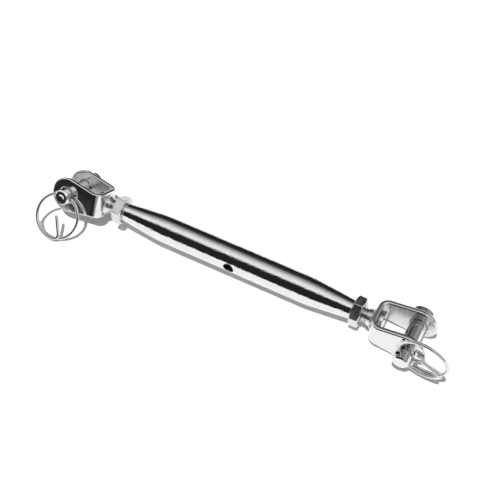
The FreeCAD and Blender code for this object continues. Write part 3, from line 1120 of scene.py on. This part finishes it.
def ring_line(sizes, step=radians(4), leg_steps=8, bend_steps=10):
    """The wire's middle: the leg from the ring's centre, the bend, then the coil, rising along z."""
    radius, bend = sizes.radius, sizes.bend_radius
    bend_turn = acos(-bend / (radius - bend))
    start = bend_turn - pi / 2
    lead = sizes.pitch / (2 * pi)
    out = Vector((cos(start), sin(start), 0))
    along = Vector((-sin(start), cos(start), lead / radius)).normalized()
    first = out * radius + Vector((0, 0, lead * start))

    def on_bend(turn):
        return first - along * (bend * sin(turn)) - out * (bend * (1 - cos(turn)))

    leg_top = on_bend(bend_turn)
    leg_way = (-along * cos(bend_turn) - out * sin(bend_turn)).normalized()
    leg = hypot(leg_top.x, leg_top.y)
    points = [leg_top + leg_way * (leg * (1 - k / leg_steps)) for k in range(leg_steps)]
    points += [on_bend(bend_turn * (1 - k / bend_steps)) for k in range(bend_steps)]
    turns = ceil((sizes.turn - start) / step)
    for k in range(turns + 1):
        turn = start + (sizes.turn - start) * k / turns
        points.append(Vector((radius * cos(turn), radius * sin(turn), lead * turn)))
    return points


def sweep(skin, line, radius, columns=20, end_steps=4):
    """A round wire along a line, its two ends rounded off."""
    ways = []
    for i in range(len(line)):
        ways.append((line[min(i + 1, len(line) - 1)] - line[max(i - 1, 0)]).normalized())
    side = ways[0].orthogonal().normalized()
    rings = []
    for i, (spot, way) in enumerate(zip(line, ways)):
        side = (side - way * side.dot(way)).normalized()
        rings.append((spot, way, side, way.cross(side), radius, 0.0))
    for at_start in (True, False):
        spot, way, side, up = rings[0 if at_start else -1][:4]
        back = -way if at_start else way
        caps = []
        for k in range(1, end_steps + 1):
            dip = pi / 2 * k / end_steps
            tip = -sin(dip) if at_start else sin(dip)
            centre = spot + back * radius * TIP_LENGTH * sin(dip)
            caps.append((centre, way, side, up, radius * cos(dip), tip))
        rings = caps[::-1] + rings if at_start else rings + caps
    loops, normals = [], []
    turns = [2 * pi * k / columns for k in range(columns)]
    for spot, way, side, up, r, tip in rings:
        outs = [side * cos(turn) + up * sin(turn) for turn in turns]
        if r < EPSILON:
            loops.append([skin.add(spot)] * columns)
        else:
            loops.append([skin.add(spot + out * r) for out in outs])
        normals.append([out * sqrt(1 - min(1.0, tip * tip)) + way * tip for out in outs])
    for k in range(len(loops) - 1):
        skin.bridge(loops[k], loops[k + 1], normals[k], normals[k + 1])


def make_cotter_ring(side):
    s = settings()
    sizes = s.ring
    swing = sizes.left_swing if side == "left" else sizes.right_swing
    lead = sizes.left_leg if side == "left" else sizes.right_leg
    through = ring_hinge(side)
    across = Vector((-through.z, 0, through.x))
    inward = Vector((0, -cos(swing), 0)) + across * sin(swing)
    half_pin = s.pin.diameter / 2
    sagitta = sizes.radius - sqrt(sizes.radius ** 2 - half_pin ** 2)
    crossing = Vector((abs(pin_place(side).x), -ring_reach(side), 0))
    centre = crossing + inward * (sizes.radius - sagitta / 2)
    axes = Matrix((-inward, through, (-inward).cross(through))).transposed().to_4x4()
    depth = sizes.pitch * (2 * pi - lead) / (2 * pi)
    coil = Matrix.Rotation(lead, 4, "Z")
    coil.translation = Vector((0, 0, -depth))
    skin = Skin()
    sweep(skin, ring_line(sizes), sizes.wire / 2)
    place = end_axes(side) @ Matrix.Translation(centre) @ axes @ coil
    piece = skin.build(side + "_cotter_ring_wire", place, drawn_wire())
    fit(piece, side + "_cotter_ring", "spring_wire", side + "_cotter_ring")


# The stage

SENSOR = 36.0            # the camera's, in millimetres
SUN_SPREAD = radians(3)  # how soft the shadows' edges are
BACKDROP = 1.1           # what the camera sees past the table


def table_white(tint):
    """A plain pale table."""
    material = bpy.data.materials.new("table_white")
    material.use_nodes = True
    shader = material.node_tree.nodes["Principled BSDF"]
    shader.inputs["Base Color"].default_value = (*tint, 1)
    shader.inputs["Roughness"].default_value = 0.9
    shader.inputs["Specular IOR Level"].default_value = 0.0
    return material


def lowest(node):
    """A node's lowest point."""
    return min((v.co for v in frame["nodes"][node].data.vertices), key=lambda co: co.z)


def make_floor(stage):
    """A table top under the object, touching both forks, so it dips a little towards the left.

    It is square to the camera's bearing and ends a little way below the picture."""
    left, right = lowest("left_fork"), lowest("right_fork")
    slope = (right.z - left.z) / (right.x - left.x)
    turn = Matrix.Rotation(stage.azimuth, 2)
    near, far, side = stage.floor_near, stage.floor_far, stage.floor_far
    corners = []
    for across, away in ((-side, -near), (side, -near), (side, far), (-side, far)):
        x, y = turn @ Vector((across, away))
        corners.append((x, y, left.z + slope * (x - left.x)))
    mesh = bpy.data.meshes.new("table_top")
    mesh.from_pydata(corners, [], [(0, 1, 2, 3)])
    mesh.materials.append(table_white(stage.floor))
    table = bpy.data.objects.new("table_top", mesh)
    bpy.context.scene.collection.objects.link(table)


def make_camera(stage):
    """The camera at the photograph's viewing angle."""
    camera = bpy.data.cameras.new("camera")
    camera.sensor_width = SENSOR
    camera.sensor_fit = "HORIZONTAL"
    camera.lens = stage.lens
    camera.clip_start = 0.01
    view = bpy.data.objects.new("camera", camera)
    bpy.context.scene.collection.objects.link(view)
    a, e = stage.azimuth, stage.elevation
    back = Vector((sin(a) * cos(e), -cos(a) * cos(e), sin(e)))
    view.location = Vector(stage.target) + back * stage.distance
    view.rotation_euler = (pi / 2 - e, 0, a)
    bpy.context.scene.camera = view


def make_light(stage):
    """The lamp overhead. The steel sees the softbox in its place."""
    sun = bpy.data.lights.new("key_light", "SUN")
    sun.energy = stage.sun
    sun.angle = SUN_SPREAD
    key = bpy.data.objects.new("key_light", sun)
    key.rotation_euler = (stage.lean, 0, 0)
    key.visible_glossy = False
    bpy.context.scene.collection.objects.link(key)


# The soft panels that the steel sees in a dim room, each by one angle, its four degrees and its
# brightness. A panel is full between the middle two degrees and fades out to the outer two. Height
# runs from the near horizon (0) over the top (90) to the far one (180), and bearing towards +X.
PANELS = (
    ("height", (55, 70, 75, 140), 1.0),      # the softbox overhead
    ("bearing", (10, 30, 90, 91), 0.3),      # the card at the right end
    ("bearing", (-91, -90, -60, -40), 0.2),  # the card at the left end
    ("height", (-182, -181, -15, 0), 0.25),  # the floor beyond the table
)
WALLS = 0.02             # brightness of the dim room between the panels


def panel_share(nodes, links, angle, degrees_of_panel):
    """1 inside a soft panel and 0 outside it."""
    out_low, low, high, out_high = [radians(degree) for degree in degrees_of_panel]
    rise = node_between(nodes, links, angle, out_low, low, True)
    fall = node_between(nodes, links, angle, out_high, high, True)
    return node_product(nodes, links, rise, fall)


def make_world(stage):
    """A bright room for the table, which the steel sees as a dim one with a few soft panels."""
    world = bpy.data.worlds.new("studio")
    world.use_nodes = True
    bpy.context.scene.world = world
    nodes, links = world.node_tree.nodes, world.node_tree.links
    plain = nodes["Background"]
    plain.inputs["Color"].default_value = (1, 1, 1, 1)
    plain.inputs["Strength"].default_value = stage.fill

    place = nodes.new("ShaderNodeTexCoord")
    parts = nodes.new("ShaderNodeSeparateXYZ")
    links.new(place.outputs["Generated"], parts.inputs["Vector"])
    near = nodes.new("ShaderNodeMath")
    near.operation = "MULTIPLY"
    near.inputs[1].default_value = -1.0
    links.new(parts.outputs["Y"], near.inputs[0])
    height = nodes.new("ShaderNodeMath")
    height.operation = "ARCTAN2"
    links.new(parts.outputs["Z"], height.inputs[0])
    links.new(near.outputs["Value"], height.inputs[1])
    bearing = nodes.new("ShaderNodeMath")
    bearing.operation = "ARCSINE"
    links.new(parts.outputs["X"], bearing.inputs[0])

    angles = {"height": height.outputs["Value"], "bearing": bearing.outputs["Value"]}
    glow = None
    for told_by, degrees_of_panel, brightness in PANELS:
        lit = nodes.new("ShaderNodeMath")
        lit.operation = "MULTIPLY_ADD"
        share = panel_share(nodes, links, angles[told_by], degrees_of_panel)
        links.new(share, lit.inputs[0])
        lit.inputs[1].default_value = brightness
        lit.inputs[2].default_value = WALLS
        if glow:
            links.new(glow, lit.inputs[2])
        glow = lit.outputs["Value"]
    seen = nodes.new("ShaderNodeBackground")
    links.new(glow, seen.inputs["Color"])
    seen.inputs["Strength"].default_value = stage.room
    white = nodes.new("ShaderNodeBackground")
    white.inputs["Color"].default_value = (1, 1, 1, 1)
    white.inputs["Strength"].default_value = BACKDROP

    rays = nodes.new("ShaderNodeLightPath")
    steel_sees = nodes.new("ShaderNodeMixShader")
    links.new(rays.outputs["Is Glossy Ray"], steel_sees.inputs["Fac"])
    links.new(plain.outputs["Background"], steel_sees.inputs[1])
    links.new(seen.outputs["Background"], steel_sees.inputs[2])
    camera_sees = nodes.new("ShaderNodeMixShader")
    links.new(rays.outputs["Is Camera Ray"], camera_sees.inputs["Fac"])
    links.new(steel_sees.outputs["Shader"], camera_sees.inputs[1])
    links.new(white.outputs["Background"], camera_sees.inputs[2])
    links.new(camera_sees.outputs["Shader"], nodes["World Output"].inputs["Surface"])


# The add-on's operators and panel

class ADJUSTER_OT_barrel(bpy.types.Operator):
    """Make the swaged barrel with its cross hole"""
    bl_idname = "adjuster.barrel"
    bl_label = "Barrel"

    def execute(self, context):
        make_barrel()
        return {"FINISHED"}


class ADJUSTER_OT_lock_nuts(bpy.types.Operator):
    """Make the two chamfered lock nuts"""
    bl_idname = "adjuster.lock_nuts"
    bl_label = "Lock Nuts"

    def execute(self, context):
        for side in SIDES:
            make_lock_nut(side)
        return {"FINISHED"}


class ADJUSTER_OT_studs(bpy.types.Operator):
    """Make the threaded studs, right-handed on the right and left-handed on the left"""
    bl_idname = "adjuster.studs"
    bl_label = "Studs"

    def execute(self, context):
        for side in SIDES:
            make_stud(side)
        return {"FINISHED"}


class ADJUSTER_OT_forks(bpy.types.Operator):
    """Bend the two forks from their flat straps"""
    bl_idname = "adjuster.forks"
    bl_label = "Forks"

    def execute(self, context):
        for side in SIDES:
            make_fork(side)
        return {"FINISHED"}


class ADJUSTER_OT_clevis_pins(bpy.types.Operator):
    """Make the headed clevis pins with their cross holes"""
    bl_idname = "adjuster.clevis_pins"
    bl_label = "Clevis Pins"

    def execute(self, context):
        for side in SIDES:
            make_clevis_pin(side)
        return {"FINISHED"}


class ADJUSTER_OT_cotter_rings(bpy.types.Operator):
    """Wind the two sprung rings"""
    bl_idname = "adjuster.cotter_rings"
    bl_label = "Cotter Rings"

    def execute(self, context):
        for side in SIDES:
            make_cotter_ring(side)
        return {"FINISHED"}


class ADJUSTER_OT_stage(bpy.types.Operator):
    """Set the table top, the lights, the room and the camera"""
    bl_idname = "adjuster.stage"
    bl_label = "Stage"

    def execute(self, context):
        stage = settings().stage
        make_floor(stage)
        make_camera(stage)
        make_light(stage)
        make_world(stage)
        context.scene.view_settings.view_transform = "Standard"
        return {"FINISHED"}


STEPS = (
    (ADJUSTER_OT_stage, "stage"),
    (ADJUSTER_OT_barrel, "barrel"),
    (ADJUSTER_OT_lock_nuts, "nut"),
    (ADJUSTER_OT_studs, "thread"),
    (ADJUSTER_OT_forks, "fork"),
    (ADJUSTER_OT_clevis_pins, "pin"),
    (ADJUSTER_OT_cotter_rings, "ring"),
)


class ADJUSTER_PT_panel(bpy.types.Panel):
    """The operators, each over its own sizes"""
    bl_idname = "ADJUSTER_PT_panel"
    bl_label = "Shroud Adjuster"
    bl_space_type = "VIEW_3D"
    bl_region_type = "UI"
    bl_category = "Rigging"

    def draw(self, context):
        sizes = context.scene.shroud_adjuster
        groups = [(operator, getattr(sizes, name)) for operator, name in STEPS]
        for operator, group in groups + [(None, sizes.finish)]:
            box = self.layout.box()
            if operator:
                box.operator(operator.bl_idname)
            for name in group.bl_rna.properties.keys():
                if name not in ("rna_type", "name"):
                    box.prop(group, name)


GROUPS = (ThreadSizes, BarrelSizes, NutSizes, ForkSizes, PinSizes, RingSizes, FinishSettings,
          StageSettings, ShroudAdjuster)
CLASSES = GROUPS + tuple(operator for operator, name in STEPS) + (ADJUSTER_PT_panel,)


def register():
    for made in CLASSES:
        bpy.utils.register_class(made)
    bpy.types.Scene.shroud_adjuster = PointerProperty(type=ShroudAdjuster)


def unregister():
    del bpy.types.Scene.shroud_adjuster
    for made in reversed(CLASSES):
        bpy.utils.unregister_class(made)


def main():
    register()
    bpy.ops.adjuster.stage()
    bpy.ops.adjuster.barrel()
    bpy.ops.adjuster.lock_nuts()
    bpy.ops.adjuster.studs()
    bpy.ops.adjuster.forks()
    bpy.ops.adjuster.clevis_pins()
    bpy.ops.adjuster.cotter_rings()


if __name__ == "__main__":
    main()
